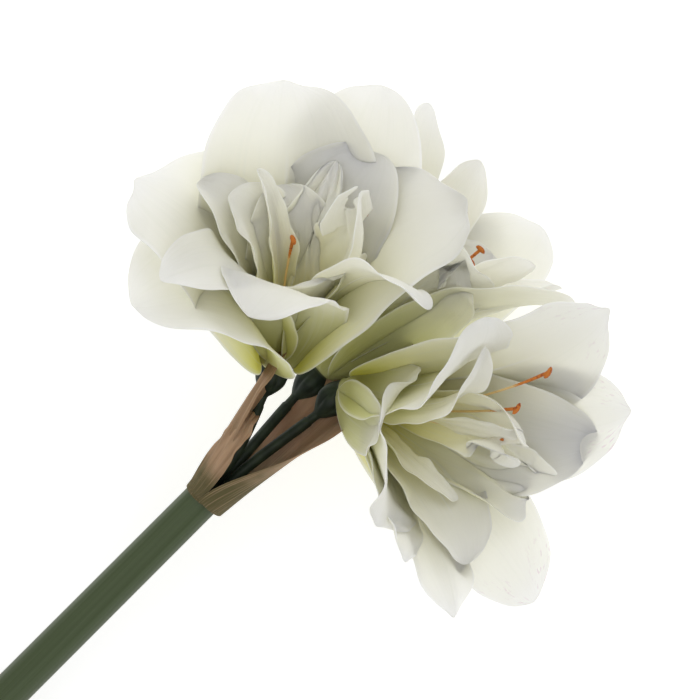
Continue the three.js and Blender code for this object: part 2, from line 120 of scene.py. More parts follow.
BLOOMS = {
    "upper": {
        "seat": (-36.5, -6, 10),
        "axis": (0.16, 0.7, 0.7),
        "ovary": (0.35, 0.85, 0.35),
        "foot": (55, 4.8),
        "petals": {
            "left": petal("outer", (72, 28, 54), (62, 82, 84), 100, cup=10, nib=4),
            "lower_left": petal("outer", (106, 28, 50), (103, 82, 60), 94, cup=12, ruffle=1.2),
            "top": petal("outer", (4, 26, 62), (0, 80, 112), 92, cup=22, nib=2.5),
            "back": petal("outer", (322, 31, 56), (330, 92, 112), 76, cup=16),
            "right": petal("outer", (270, 25, 60), (277, 79, 102), 90, cup=18, curl=6),
            "front_right": petal("outer", (232, 22, 60), (226, 73, 90), 44, cup=10, twist=-40, ruffle=3.0),
            "front": petal("outer", (158, 21, 60), (150, 66, 90), 64, cup=8, ruffle=2.2),
            "front_left": petal("middle", (120, 22, 60), (115, 78, 90), 52, cup=16),
            "inner_left": petal("middle", (60, 18, 56), (56, 55, 92), 46, cup=22),
            "inner_top": petal("middle", (318, 18, 58), (316, 62, 98), 66, cup=20),
            "inner_front": petal("middle", (208, 17, 50), (205, 28, 82), 64, cup=38, ruffle=2.2),
            "folded": petal("inner", (50, 14, 56), (60, 38, 92), 46, cup=34, ruffle=2.4),
            "ribbon": petal("inner", (34, 10, 55), (33, 35, 100), 18, cup=60, ruffle=2.2),
            "inner_back": petal("inner", (12, 10, 54), (5, 33, 88), 48, cup=30),
            "petaloid": petal("core", (250, 18, 66), (296, 22, 96), 44, cup=50, crumple=1.8, blunt=3.0),
            "petaloid_back": petal("core", (340, 10, 56), (333, 45, 97), 30, cup=30, crumple=1.6),
        },
        "stamens": [
            ((20, 8, 50), (346, 26, 80)),
            ((30, 7, 45), (7, 10, 74)),
            ((290, 10, 60), (294, 39, 86)),
        ],
    },
    "lower": {
        "seat": (-2.5, -21, 5),
        "axis": (0.72, -0.33, 0.61),
        "ovary": (0.75, 0.6, 0.25),
        "foot": (170, 4.8),
        "petals": {
            "bottom_right": petal("outer", (222, 34, 52), (220, 97, 100), 64, cup=10, blush=1.0),
            "right": petal("outer", (284, 32, 55), (286, 92, 105), 72, cup=12, blush=0.8, nib=4),
            "top_right": petal("outer", (330, 31, 55), (329, 90, 104), 92, cup=12, blush=0.5, nib=4),
            "top_left": petal("outer", (28, 26, 52), (24, 76, 92), 64, cup=14, ruffle=2.6),
            "upper_left": petal("outer", (70, 22, 36), (58, 46, 58), 52, cup=24),
            "left": petal("outer", (122, 26, 46), (132, 58, 74), 66, cup=18, ruffle=2.0),
            "lower_left": petal("middle", (152, 30, 48), (156, 60, 82), 36, cup=16),
            "bottom_left": petal("middle", (184, 32, 50), (187, 80, 92), 46, cup=18, nib=4),
            "inner_right": petal("middle", (276, 24, 56), (276, 80, 98), 64, blunt=1.8),
            "bottom": petal("inner", (196, 22, 54), (194, 57, 90), 48),
            "inner_top": petal("middle", (40, 17, 54), (20, 57, 90), 28, cup=35),
            "petaloid": petal("core", (316, 16, 62), (262, 18, 84), 38, cup=60, crumple=1.8, blunt=3.0),
            "rosette": petal(
                "core", (246, 28, 62), (252, 57, 84), 38, cup=50, crumple=2.0, ruffle=3.0, blunt=3.4
            ),
            "drop": petal("inner", (150, 14, 44), (203, 30, 75), 16, cup=36),
            "ribbon": petal("core", (340, 8, 58), (310, 22, 97), 12, cup=30),
        },
        "stamens": [
            ((320, 14, 62), (332, 51, 98)),
            ((320, 11, 58), (328, 29, 92)),
            ((290, 9, 56), (292, 21, 87)),
        ],
    },
    "rear": {
        "seat": (-14, -11, -12),
        "axis": (0.72, 0.67, 0.18),
        "ovary": (0.72, 0.67, 0.1),
        "foot": (290, 4.8),
        "petals": {
            "front_left": petal("outer", (104, 26, 52), (103, 41, 86), 62, cup=24),
            "front_right": petal("outer", (156, 25, 60), (174, 63, 117), 57, cup=24),
            "right": petal("outer", (256, 30, 60), (264, 80, 122), 62, cup=12),
            "under": petal("outer", (284, 30, 58), (290, 74, 104), 62, cup=16),
            "back": petal("outer", (322, 32, 56), (321, 94, 106), 56, cup=16),
            "top": petal("outer", (345, 28, 60), (333, 77, 126), 46, cup=24),
            "front": petal("middle", (118, 22, 58), (120, 44, 98), 46, cup=26),
            "curled": petal("middle", (150, 20, 60), (152, 40, 117), 32, cup=30),
            "inner_right": petal("middle", (190, 22, 58), (196, 50, 116), 46, cup=26),
            "inner_under": petal("middle", (256, 20, 54), (262, 50, 98), 46, cup=22),
            "inner_top": petal("middle", (322, 16, 58), (312, 42, 126), 44, cup=30),
        },
        "stamens": [
            ((20, 8, 70), (335, 13, 107)),
            ((60, 8, 70), (3, 9, 100)),
            ((200, 8, 66), (223, 11, 100)),
            ((170, 8, 62), (188, 10, 93)),
        ],
    },
}

PAPER = {"crumple": 0.5, "ruffle": 0.8, "waves": 3.5, "nib": 3.0, "thickness": 0.45, "pleat": 0.5}
VALVES = {
    "back": petal("wide", (232, 20, 62), (262, 24, 126), 54, cup=34, start=190, **PAPER),
    "left": petal("tight", (32, 22, 56), (352, 26, 92), 26, cup=50, start=30, **PAPER),
    "bracteole": petal("narrow", (66, 18, 26), (46, 17, 47), 19, cup=26, start=70, **PAPER),
}

# ---------------------------------------------------------------- frames and vectors


def unit(vector):
    """The vector, or each row of vectors, at length 1."""
    vector = np.asarray(vector, float)
    return vector / np.linalg.norm(vector, axis=-1, keepdims=True)


def smooth(value, low, high):
    """0 at low, 1 at high, and eased in between."""
    share = np.clip((np.asarray(value, float) - low) / (high - low), 0, 1)
    return share * share * (3 - 2 * share)


def to_part(points):
    """Layout millimetres as metres in the part's frame, where the scape lies along X."""
    turn = math.radians(-SCAPE_HEADING)
    x, y, z = np.asarray(points, float).T
    cosine, sine = math.cos(turn), math.sin(turn)
    turned = np.stack([x * cosine - y * sine, x * sine + y * cosine, z], 1)
    return (turned - RESTING_ORIGIN) * MM


class Around:
    """A frame round an axis, with azimuth 0 at the side nearest the layout's +Y."""

    def __init__(self, seat, axis):
        self.origin = np.array(seat, float)
        self.up = unit(axis)
        self.back = unit(np.array([0.0, 1.0, 0.0]) - self.up[1] * self.up)
        self.side = np.cross(self.up, self.back)

    def outward(self, azimuth):
        """The way out from the axis at one azimuth, or at each of several."""
        angle = np.radians(np.asarray(azimuth, float))[..., None]
        return np.cos(angle) * self.back + np.sin(angle) * self.side

    def place(self, azimuth, reach, rise):
        """The point at that azimuth, that far out from the axis and that far up."""
        return self.origin + self.up * rise + self.outward(azimuth) * reach


HEADING = math.radians(SCAPE_HEADING)
DROP = math.radians(SCAPE_DROP)
SCAPE_AXIS = (
    math.cos(HEADING) * math.cos(DROP),
    math.sin(HEADING) * math.cos(DROP),
    math.sin(DROP),
)
SCAPE = Around(SCAPE_TOP, SCAPE_AXIS)

# ---------------------------------------------------------------- shader expressions


class Value:
    """A shader socket that Python's operators can work on, by adding Math nodes."""

    def __init__(self, finish, socket):
        self.finish = finish
        self.socket = socket

    def math(self, operation, *operands):
        """The result of one Math node on these operands."""
        inputs = dict(enumerate(operands))
        return self.finish.add("ShaderNodeMath", {"operation": operation}, inputs)

    def __add__(self, other):
        return self.math("ADD", self, other)

    def __sub__(self, other):
        return self.math("SUBTRACT", self, other)

    def __rsub__(self, other):
        return self.math("SUBTRACT", other, self)

    def __mul__(self, other):
        return self.math("MULTIPLY", self, other)

    def __abs__(self):
        return self.math("ABSOLUTE", self)

    __radd__ = __add__
    __rmul__ = __mul__

    def eased(self, low, high):
        """0 where this is at low, 1 where it is at high."""
        inputs = {"Value": self, "From Min": low, "From Max": high}
        settings = {"interpolation_type": "SMOOTHSTEP"}
        return self.finish.add("ShaderNodeMapRange", settings, inputs)


class Finish:
    """One material, with the nodes that colour it."""

    def __init__(self, name):
        self.material = bpy.data.materials.new(name)
        self.material.use_nodes = True
        self.tree = self.material.node_tree
        self.tree.nodes.clear()

    def add(self, kind, settings=None, inputs=None, output=0):
        """Adds a node, sets it up, fills or links its sockets, and returns one of its outputs."""
        node = self.tree.nodes.new(kind)
        for name, setting in (settings or {}).items():
            if name == "stops":
                self.fill_ramp(node.color_ramp, setting)
            else:
                setattr(node, name, setting)
        for name, given in (inputs or {}).items():
            if isinstance(given, Value):
                self.tree.links.new(given.socket, node.inputs[name])
            else:
                node.inputs[name].default_value = given
        return Value(self, node.outputs[output]) if len(node.outputs) else None

    @staticmethod
    def fill_ramp(ramp, stops):
        """Gives a colour ramp these (place, colour) stops."""
        while len(ramp.elements) < len(stops):
            ramp.elements.new(1.0)
        for element, (place, colour) in zip(ramp.elements, stops):
            element.position = place
            element.color = (*colour, 1.0)

    def across_and_along(self):
        """The two directions of the piece's own UV map."""
        uv = self.add("ShaderNodeUVMap", {"uv_map": "weave"})
        across = self.add("ShaderNodeSeparateXYZ", None, {0: uv}, "X")
        along = self.add("ShaderNodeSeparateXYZ", None, {0: uv}, "Y")
        return across, along

    def attribute(self, name):
        """A number that the mesh holds at each of its points."""
        return self.add("ShaderNodeAttribute", {"attribute_name": name}, None, "Fac")

    def vector(self, x, y, z):
        """A vector of three values or numbers."""
        return self.add("ShaderNodeCombineXYZ", None, {"X": x, "Y": y, "Z": z})

    def own_place(self):
        """The object's own coordinates, in metres."""
        return self.add("ShaderNodeTexCoord", None, None, "Object")

    def noise(self, vector, scale, detail=3.0, roughness=0.5):
        """Soft noise from 0 to 1."""
        inputs = {"Vector": vector, "Scale": scale, "Detail": detail, "Roughness": roughness}
        return self.add("ShaderNodeTexNoise", None, inputs)

    def mix(self, factor, first, second, blend="MIX"):
        """Two colours mixed."""
        ends = [given if isinstance(given, Value) else (*given, 1.0) for given in (first, second)]
        settings = {"data_type": "RGBA", "blend_type": blend}
        return self.add("ShaderNodeMix", settings, {0: factor, 6: ends[0], 7: ends[1]}, 2)

    def bump(self, height, distance, strength=1.0):
        """A normal tilted by a height."""
        return self.add(
            "ShaderNodeBump", None, {"Height": height, "Distance": distance, "Strength": strength}
        )

    def surface(self, **sockets):
        """Ends the material in one Principled surface, with sockets given by name."""
        inputs = {name.replace("_", " "): given for name, given in sockets.items()}
        shader = self.add("ShaderNodeBsdfPrincipled", None, inputs)
        self.add("ShaderNodeOutputMaterial", None, {"Surface": shader})
        return self.material


def petal_silk(look):
    """Silky white petals: yellow-green at the claw, ivory above, with fine lengthwise veins and a painted
    highlight along the edges and tip.
    """
    finish = Finish("petal_silk")
    across, along = finish.across_and_along()
    own = finish.attribute("variation")
    side = finish.attribute("inner_face")
    edge = abs(across * 2.0 - 1.0)
    throat = finish.add(
        "ShaderNodeValToRGB",
        {"stops": [(0.15, look.throat), (0.4, look.glow), (0.66, look.ivory), (0.95, look.petal)]},
        {"Fac": along},
    )
    underside = finish.add(
        "ShaderNodeValToRGB",
        {"stops": [(0.2, look.claw), (0.45, look.sap), (0.68, look.ivory), (0.92, look.petal)]},
        {"Fac": along},
    )
    colour = finish.mix(side, underside, throat)
    stretched = finish.vector(across * 30.0, along * 1.6, own * 40.0)
    veins = finish.noise(stretched, 1.0, 3.0)
    colour = finish.mix(veins.eased(0.52, 0.72) * 0.22, colour, look.vein)
    midrib = 1.0 - edge.eased(0.0, 0.035)
    midrib = midrib * along.eased(0.1, 0.3) * (1.0 - along.eased(0.6, 0.8))
    colour = finish.mix(midrib * 0.5, colour, look.rim)
    # Painted highlight: the petal's outline, its long edges and its tip, is mixed half-way toward the pale rim
    # colour. This is a lit thin edge painted into the base colour.
    tip = along.eased(0.93, 1.0)
    rim = edge.eased(0.93, 1.0).math("MAXIMUM", edge.eased(0.93, 1.0), tip)
    colour = finish.mix(rim * 0.5, colour, look.rim)
    speckle = finish.noise(finish.vector(across * 24.0, along * 30.0, own * 9.0), 1.0, 4.0).eased(0.56, 0.7)
    blush = finish.attribute("blush") * speckle * along.eased(0.8, 0.98) * edge.eased(0.1, 0.7)
    colour = finish.mix(blush * 0.6, colour, look.blush)
    place = finish.own_place()
    crease = finish.noise(finish.vector(across * 14.0, along * 3.0, own * 17.0), 1.0, 4.0)
    grain = finish.noise(place, 900.0, 2.0)
    height = crease * 0.6 + veins * 0.25 + grain * 0.05 + midrib * 0.3
    return finish.surface(
        Base_Color=colour,
        Roughness=0.55 + grain * 0.15,
        Subsurface_Weight=0.9,
        Subsurface_Radius=(1.0, 1.0, 0.92),
        Subsurface_Scale=0.0035,
        Specular_IOR_Level=0.3,
        Normal=finish.bump(height, 0.0007, 0.7),
    )


def scape_skin(look):
    """Smooth green skin with soft lengthwise streaks, and pale pith at the cut end."""
    finish = Finish("scape_skin")
    across, along = finish.across_and_along()
    streaks = finish.noise(finish.vector(across * 46.0, along * 2.4, 3.0), 1.0, 3.0)
    bands = finish.noise(finish.vector(across * 7.0, along * 0.6, 8.0), 1.0, 1.0)
    colour = finish.mix(bands.eased(0.35, 0.65), look.scape_dark, look.scape)
    colour = finish.mix(streaks.eased(0.5, 0.75) * 0.35, colour, look.scape_pale)
    pith = finish.attribute("pith")
    colour = finish.mix(pith, colour, look.pith)
    flecks = finish.noise(finish.own_place(), 1400.0, 2.0)
    height = streaks * 0.6 + flecks * 0.08
    return finish.surface(
        Base_Color=colour,
        Roughness=0.42 + streaks * 0.12,
        Specular_IOR_Level=0.42,
        Normal=finish.bump(height, 0.0003, 0.5),
    )


def stalk_green(look):
    """Near-black green of the stalks and ovaries."""
    finish = Finish("stalk_green")
    place = finish.own_place()
    mottle = finish.noise(place, 160.0, 3.0)
    fine = finish.noise(place, 1100.0, 2.0)
    colour = finish.mix(mottle.eased(0.35, 0.7), look.stalk, look.stalk_pale)
    colour = finish.mix(finish.attribute("cone"), colour, look.claw)
    return finish.surface(
        Base_Color=colour,
        Roughness=0.45 + fine * 0.2,
        Specular_IOR_Level=0.4,
        Normal=finish.bump(mottle * 0.5 + fine * 0.3, 0.0003, 0.5),
    )


def spathe_paper(look):
    """Dry papery spathe: olive at its foot, pinkish tan above, with long fibres."""
    finish = Finish("spathe_paper")
    across, along = finish.across_and_along()
    own = finish.attribute("variation")
    fibres = finish.noise(finish.vector(across * 60.0, along * 2.2, own * 50.0), 1.0, 4.0)
    broad = finish.noise(finish.vector(across * 9.0, along * 1.2, own * 20.0), 1.0, 2.0)
    blotch = finish.noise(finish.own_place(), 60.0, 3.0)
    tan = finish.mix(broad.eased(0.35, 0.7), look.paper_dark, look.paper)
    age = (along + (blotch - 0.5) * 0.25).eased(look.olive_until - 0.12, look.olive_until + 0.12)
    colour = finish.mix(age, look.olive, tan)
    colour = finish.mix(fibres.eased(0.48, 0.7) * 0.55, colour, look.fibre)
    height = fibres * 0.8 + broad * 0.4
    return finish.surface(
        Base_Color=colour,
        Roughness=0.7 + fibres * 0.15,
        Subsurface_Weight=0.25,
        Subsurface_Radius=(1.0, 0.6, 0.35),
        Subsurface_Scale=0.001,
        Specular_IOR_Level=0.25,
        Normal=finish.bump(height, 0.0005, 0.8),
    )


def stamen_dust(look):
    """Pale orange filaments whose ends are dusted with rust-orange pollen."""
    finish = Finish("stamen_dust")
    tip = finish.attribute("dusted")
    patches = finish.noise(finish.own_place(), 700.0, 3.0)
    colour = finish.mix((tip + (patches - 0.5) * 0.8).eased(0.25, 0.6), look.filament, look.pollen)
    colour = finish.mix((patches * tip).eased(0.52, 0.68), colour, look.pollen_dark)
    return finish.surface(
        Base_Color=colour,
        Roughness=0.75,
        Normal=finish.bump(patches, 0.0004, 0.6),
    )


def plain_floor(look):
    """The pale surface that the stem lies on."""
    finish = Finish("plain_floor")
    soft = finish.noise(finish.own_place(), 3.0, 2.0)
    colour = finish.mix(soft * 0.2, look.floor, (0.9, 0.9, 0.9))
    return finish.surface(
        Base_Color=colour,
        Roughness=0.9,
        Emission_Color=(1.0, 1.0, 1.0, 1.0),
        Emission_Strength=look.floor_glow,
        Specular_IOR_Level=0.0,
    )


# ---------------------------------------------------------------- meshes


def piece_from(name, points, faces, material, weave=None, attributes=None):
    """A smooth mesh object at the origin, in the part's frame, from layout points and quads."""
    mesh = bpy.data.meshes.new(name)
    mesh.from_pydata(to_part(points).tolist(), [], faces)
    if weave is not None:
        layer = mesh.uv_layers.new(name="weave")
        corners = np.empty(len(mesh.loops), int)
        mesh.loops.foreach_get("vertex_index", corners)
        layer.data.foreach_set("uv", np.asarray(weave, np.float32)[corners].ravel())
    for key, values in (attributes or {}).items():
        held = mesh.attributes.new(key, "FLOAT", "POINT")
        held.data.foreach_set("value", np.asarray(values, np.float32))
    mesh.shade_smooth()
    mesh.set_sharp_from_angle(angle=math.radians(SHARP_ANGLE))
    mesh.materials.append(material)
    mesh.update()
    made = bpy.data.objects.new(name, mesh)
    bpy.context.scene.collection.objects.link(made)
    return made


def grid_faces(across, along):
    """The quads of a closed sheet: its inner face, its under face, and the rim between them."""
    row = across + 1
    under = row * (along + 1)
    faces = []
    for j in range(along):
        for i in range(across):
            a = j * row + i
            b, c, d = a + 1, a + row + 1, a + row
            faces.append((a, d, c, b))
            faces.append((under + a, under + b, under + c, under + d))
    rim = list(range(across))
    rim += [j * row + across for j in range(along)]
    rim += [along * row + i for i in range(across, 0, -1)]
    rim += [j * row for j in range(along, 0, -1)]
    for k, a in enumerate(rim):
        b = rim[(k + 1) % len(rim)]
        faces.append((a, b, under + b, under + a))
    return faces


def ripple(random, s, t, count, low, high):
    """A smooth wander over the sheet, from -1 to 1 or so, made of a few crossing waves."""
    total = np.zeros(np.broadcast(s, t).shape)
    for _ in range(count):
        fast, slow = random.uniform(low, high, 2)
        phase = random.uniform(0, 2 * math.pi)
        total += np.sin(fast * s + slow * t * random.choice([-1, 1]) + phase)
    return total / math.sqrt(count)


def bezier(corners, t):
    """Points and directions along a cubic Bezier curve."""
    a, b, c, d = [np.asarray(corner, float) for corner in corners]
    u = 1 - t
    points = a * u**3 + 3 * b * u**2 * t + 3 * c * u * t**2 + d * t**3
    slopes = 3 * ((b - a) * u**2 + 2 * (c - b) * u * t + (d - c) * t**2)
    return points, unit(slopes)


def petal_sheet(around, ring, shape, seed):
    """The points of a petal or valve, both faces, with its UV map, from its place in the flower."""
    random = np.random.default_rng(seed)
    across, along = (44, 64) if shape["width"] > 30 else (28, 52)
    s = np.linspace(-1, 1, across + 1)[None, :]
    u = np.linspace(0, 1, along + 1)[:, None]
    t = 1 - (1 - u) ** 1.5

    start = shape.get("start", shape["belly"][0])
    belly = around.place(*shape["belly"])
    first = around.place(start, ring["radius"], ring["height"])
    second = around.place(start, ring["radius"] + CLAW_FLARE, ring["height"] + shape["belly"][2] * CLAW_RISE)
    last = around.place(*shape["tip"])
    third = (8 * belly - first - 3 * second - last) / 3
    rib, direction = bezier((first, second, third, last), t)
    swing = (shape["tip"][0] - start + 540) % 360 - 180
    out = around.outward(start + swing * t[:, 0])
    sideways = np.cross(around.up, out)
    sideways = unit(sideways - (sideways * direction).sum(1, keepdims=True) * direction)
    inward = np.cross(direction, sideways)
    twist = math.radians(shape["twist"]) * smooth(t, *TWIST_SPAN)
    sideways, inward = (
        sideways * np.cos(twist) + inward * np.sin(twist),
        inward * np.cos(twist) - sideways * np.sin(twist),
    )

    claw = ring["claw"] / 2
    widest = shape["widest"]
    spread = np.sin(math.pi / 2 * np.minimum(1, t / widest)) ** SPREAD_EASE
    past = np.maximum(0, (t - widest) / (1 - widest))
    taper = (1 - (past * TIP_WIDTH) ** shape["blunt"]) ** (1 / shape["blunt"])
    half = (claw + (shape["width"] / 2 - claw) * spread) * taper
    half = half * (1 + 0.018 * np.sin(26 * t + random.uniform(0, 6, (1, 2))[:, :1]) * smooth(t, 0.4, 0.7))
    eased = smooth(t, 0, 0.5)
    bend = claw / ring["radius"] * (1 - eased) + math.radians(shape["cup"]) * eased

    open_part = smooth(t, 0.25, 0.7) * np.minimum(1, taper * 1.4)
    edge = np.abs(s) ** 2.2
    sign = np.where(s < 0, 0.0, 1.9)
    waver = np.sin(2 * math.pi * shape["waves"] * t + sign + random.uniform(0, 6))
    waver = waver + 0.45 * np.sin(2 * math.pi * (2.3 * shape["waves"] * t + 0.6 * s) + random.uniform(0, 6))
    ruffle = shape["ruffle"] * edge * waver * open_part
    hem = shape["ruffle"] * 0.5 * smooth(t, 0.82, 1) * np.sin(0.25 * half * s + random.uniform(0, 6))
    pleats = shape["pleat"] * np.sin(9 * s + 1.5 * t + random.uniform(0, 6)) * smooth(t, 0.1, 0.35)
    pleats = pleats * (1 - smooth(t, 0.6, 0.95)) * (0.3 + 0.7 * np.abs(s))
    wander = 0.9 * ripple(random, s, t, 4, 1.5, 4.5) * open_part
    crumple = shape["crumple"] * ripple(random, s, t, 7, 7, 15) * open_part
    lift = ruffle + hem + pleats + wander + crumple
    shift = shape["crumple"] * ripple(random, s, t, 5, 5, 12) * open_part

    x = half * np.sin(s * bend) / bend + shift
    y = half * (1 - np.cos(s * bend)) / bend - shape["curl"] * np.abs(s) ** 3 * smooth(t, 0.3, 0.9) + lift
    nib = shape["nib"] * np.exp(-((x / NIB_BREADTH) ** 2)) * smooth(t, 0.8, 1)
    middle = (
        rib[:, None, :]
        + sideways[:, None, :] * x[..., None]
        + inward[:, None, :] * y[..., None]
        + direction[:, None, :] * nib[..., None]
    )
    normal = unit(np.cross(np.gradient(middle, axis=0), np.gradient(middle, axis=1)))
    thin = shape["thickness"] / 2 * (1 - 0.55 * np.maximum(np.abs(s) ** 6, smooth(t, 0.9, 1)))
    inner = middle + normal * thin[..., None]
    under = middle - normal * thin[..., None]
    points = np.concatenate([inner.reshape(-1, 3), under.reshape(-1, 3)])
    weave = np.stack(np.broadcast_arrays(s * 0.5 + 0.5, t), -1).reshape(-1, 2)
    return points, grid_faces(across, along), np.concatenate([weave, weave])


def sheet_piece(name, around, ring, shape, material, seed):
    """A petal or valve as a finished mesh."""
    points, faces, weave = petal_sheet(around, ring, shape, seed)
    count = len(points)
    variation = np.full(count, (seed * 0.61803) % 1.0)
    inner = np.arange(count) < count // 2
    blush = np.full(count, shape["blush"])
    attributes = {"variation": variation, "inner_face": inner, "blush": blush}
    return piece_from(name, points, faces, material, weave, attributes)


def line_object(name, runs, radii, extra=None):
    """Open runs of points joined by edges, with a radius and other numbers held at each point."""
    points = np.concatenate(runs)
    edges = []
    first = 0
    for run in runs:
        edges += [(first + i, first + i + 1) for i in range(len(run) - 1)]
        first += len(run)
    mesh = bpy.data.meshes.new(name)
    mesh.from_pydata(to_part(points).tolist(), edges, [])
    for key, values in {"thick": np.asarray(radii) * MM, **(extra or {})}.items():
        held = mesh.attributes.new(key, "FLOAT", "POINT")
        held.data.foreach_set("value", np.asarray(values, np.float32))
    made = bpy.data.objects.new(name, mesh)
    bpy.context.scene.collection.objects.link(made)
    return made


# ---------------------------------------------------------------- geometry trees


class Shaping:
    """A Geometry Nodes tree with named inputs, and the means to run it on an object."""

    def __init__(self, name, inputs):
        self.tree = bpy.data.node_groups.new(name, "GeometryNodeTree")
        face = self.tree.interface
        face.new_socket("Geometry", in_out="INPUT", socket_type="NodeSocketGeometry")
        self.identifiers = {}
        for label, (kind, default) in inputs.items():
            socket = face.new_socket(label, in_out="INPUT", socket_type=kind)
            if default is not None:
                socket.default_value = default
            self.identifiers[label] = socket.identifier
        face.new_socket("Geometry", in_out="OUTPUT", socket_type="NodeSocketGeometry")
        self.entry = self.tree.nodes.new("NodeGroupInput")
        self.exit = self.tree.nodes.new("NodeGroupOutput")

    def add(self, kind, settings=None, inputs=None):
        """Adds a node, sets it up, and fills or links its sockets."""
        node = self.tree.nodes.new(kind)
        for name, setting in (settings or {}).items():
            setattr(node, name, setting)
        for name, given in (inputs or {}).items():
            if isinstance(given, bpy.types.NodeSocket):
                self.tree.links.new(given, node.inputs[name])
            else:
                node.inputs[name].default_value = given
        return node

    def named(self, name):
        """A number held at each point of the geometry."""
        node = self.add("GeometryNodeInputNamedAttribute", {"data_type": "FLOAT"}, {"Name": name})
        return node.outputs["Attribute"]

    def math(self, operation, first, second=0.0):
        """The result of one Math node."""
        return self.add("ShaderNodeMath", {"operation": operation}, {0: first, 1: second}).outputs[0]

    def finish(self, geometry):
        """Ends the tree: instances made real, and the material set."""
        real = self.add("GeometryNodeRealizeInstances", None, {"Geometry": geometry})
        material = self.entry.outputs["Material"]
        coloured = self.add(
            "GeometryNodeSetMaterial", None, {"Geometry": real.outputs[0], "Material": material}
        )
        self.tree.links.new(coloured.outputs[0], self.exit.inputs[0])

    def run(self, source, name, values):
        """Runs the tree on an object and returns the result as a plain mesh object."""
        modifier = source.modifiers.new(name, "NODES")
        modifier.node_group = self.tree
        for label, value in values.items():
            modifier[self.identifiers[label]] = value
        graph = bpy.context.evaluated_depsgraph_get()
        mesh = bpy.data.meshes.new_from_object(source.evaluated_get(graph))
        if not mesh.polygons:
            raise RuntimeError(f"{name} came out empty")
        source.modifiers.remove(modifier)
        bpy.data.objects.remove(source)
        mesh.name = name
        made = bpy.data.objects.new(name, mesh)
        bpy.context.scene.collection.objects.link(made)
        return made


def stalk_shaping():
    """Sweeps a ribbed round section along a line, as thick as the line says at each point."""
    shaping = Shaping(
        "ribbed_sweep",
        {
            "Sides": ("NodeSocketInt", 48),
            "Ribs": ("NodeSocketInt", 3),
            "Rib Depth": ("NodeSocketFloat", 0.1),
            "Material": ("NodeSocketMaterial", None),
        },
    )
    entry = shaping.entry.outputs
    line = shaping.add("GeometryNodeMeshToCurve", None, {"Mesh": entry["Geometry"]}).outputs[0]
    section = shaping.add(
        "GeometryNodeCurvePrimitiveCircle", {"mode": "RADIUS"}, {"Resolution": entry["Sides"], "Radius": 1.0}
    ).outputs[0]
    factor = shaping.add("GeometryNodeSplineParameter").outputs["Factor"]
    stored = shaping.add(
        "GeometryNodeStoreNamedAttribute",
        {"data_type": "FLOAT", "domain": "POINT"},
        {"Geometry": section, "Name": "turn", "Value": factor},
    ).outputs[0]
    thick = shaping.named("thick")
    skin = shaping.add(
        "GeometryNodeCurveToMesh",
        None,
        {"Curve": line, "Profile Curve": stored, "Scale": thick, "Fill Caps": True},
    )
    turn = shaping.math("MULTIPLY", shaping.named("turn"), 2 * math.pi)
    lobes = shaping.math("ABSOLUTE", shaping.math("SINE", shaping.math("MULTIPLY", turn, entry["Ribs"])))
    groove = shaping.math("SUBTRACT", shaping.math("POWER", lobes, 0.5), 1.0)
    depth = shaping.math("MULTIPLY", shaping.math("MULTIPLY", groove, entry["Rib Depth"]), thick)
    depth = shaping.math("MULTIPLY", depth, shaping.named("swelling"))
    normal = shaping.add("GeometryNodeInputNormal").outputs[0]
    offset = shaping.add(
        "ShaderNodeVectorMath", {"operation": "SCALE"}, {"Vector": normal, "Scale": depth}
    ).outputs[0]
    moved = shaping.add(
        "GeometryNodeSetPosition", None, {"Geometry": skin.outputs[0], "Offset": offset}
    ).outputs[0]
    eased = shaping.add("GeometryNodeSetShadeSmooth", None, {"Geometry": moved}).outputs[0]
    shaping.finish(eased)
    return shaping


def stamen_shaping():
    """Sweeps filaments along lines, and scatters pollen grains over the parts that are dusted."""
    shaping = Shaping(
        "dusted_filaments",
        {
            "Sides": ("NodeSocketInt", 10),
            "Grain Size": ("NodeSocketFloat", 0.00022),
            "Grain Density": ("NodeSocketFloat", 1.0e7),
            "Seed": ("NodeSocketInt", 4),
            "Material": ("NodeSocketMaterial", None),
        },
    )
    entry = shaping.entry.outputs
    line = shaping.add("GeometryNodeMeshToCurve", None, {"Mesh": entry["Geometry"]}).outputs[0]
    section = shaping.add(
        "GeometryNodeCurvePrimitiveCircle", {"mode": "RADIUS"}, {"Resolution": entry["Sides"], "Radius": 1.0}
    ).outputs[0]
    thick = shaping.named("thick")
    skin = shaping.add(
        "GeometryNodeCurveToMesh",
        None,
        {"Curve": line, "Profile Curve": section, "Scale": thick, "Fill Caps": True},
    )
    density = shaping.math("MULTIPLY", shaping.named("dusted"), entry["Grain Density"])
    scattered = shaping.add(
        "GeometryNodeDistributePointsOnFaces",
        None,
        {"Mesh": skin.outputs[0], "Density": density, "Seed": entry["Seed"]},
    ).outputs["Points"]
    grain = shaping.add("GeometryNodeMeshIcoSphere", None, {"Radius": 1.0, "Subdivisions": 1}).outputs[0]
    size = shaping.add(
        "FunctionNodeRandomValue", {"data_type": "FLOAT"}, {"Min": 0.5, "Max": 1.0, "Seed": entry["Seed"]}
    ).outputs["Value"]
    size = shaping.math("MULTIPLY", size, entry["Grain Size"])
    grains = shaping.add(
        "GeometryNodeInstanceOnPoints", None, {"Points": scattered, "Instance": grain, "Scale": size}
    ).outputs[0]
    both = shaping.add("GeometryNodeJoinGeometry")
    for geometry in (grains, skin.outputs[0]):
        shaping.tree.links.new(geometry, both.inputs[0])
    eased = shaping.add("GeometryNodeSetShadeSmooth", None, {"Geometry": both.outputs[0]}).outputs[0]
    shaping.finish(eased)
    return shaping


# ---------------------------------------------------------------- the pieces


def finished(piece, node):
    """Parents a finished piece to the root body, and hides the CAD node that it stands for."""
    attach(piece, "root")
    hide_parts(node)
    return piece


def flower_frame(bloom):
    """The frame round one flower's axis."""
    return Around(bloom["seat"], bloom["axis"])


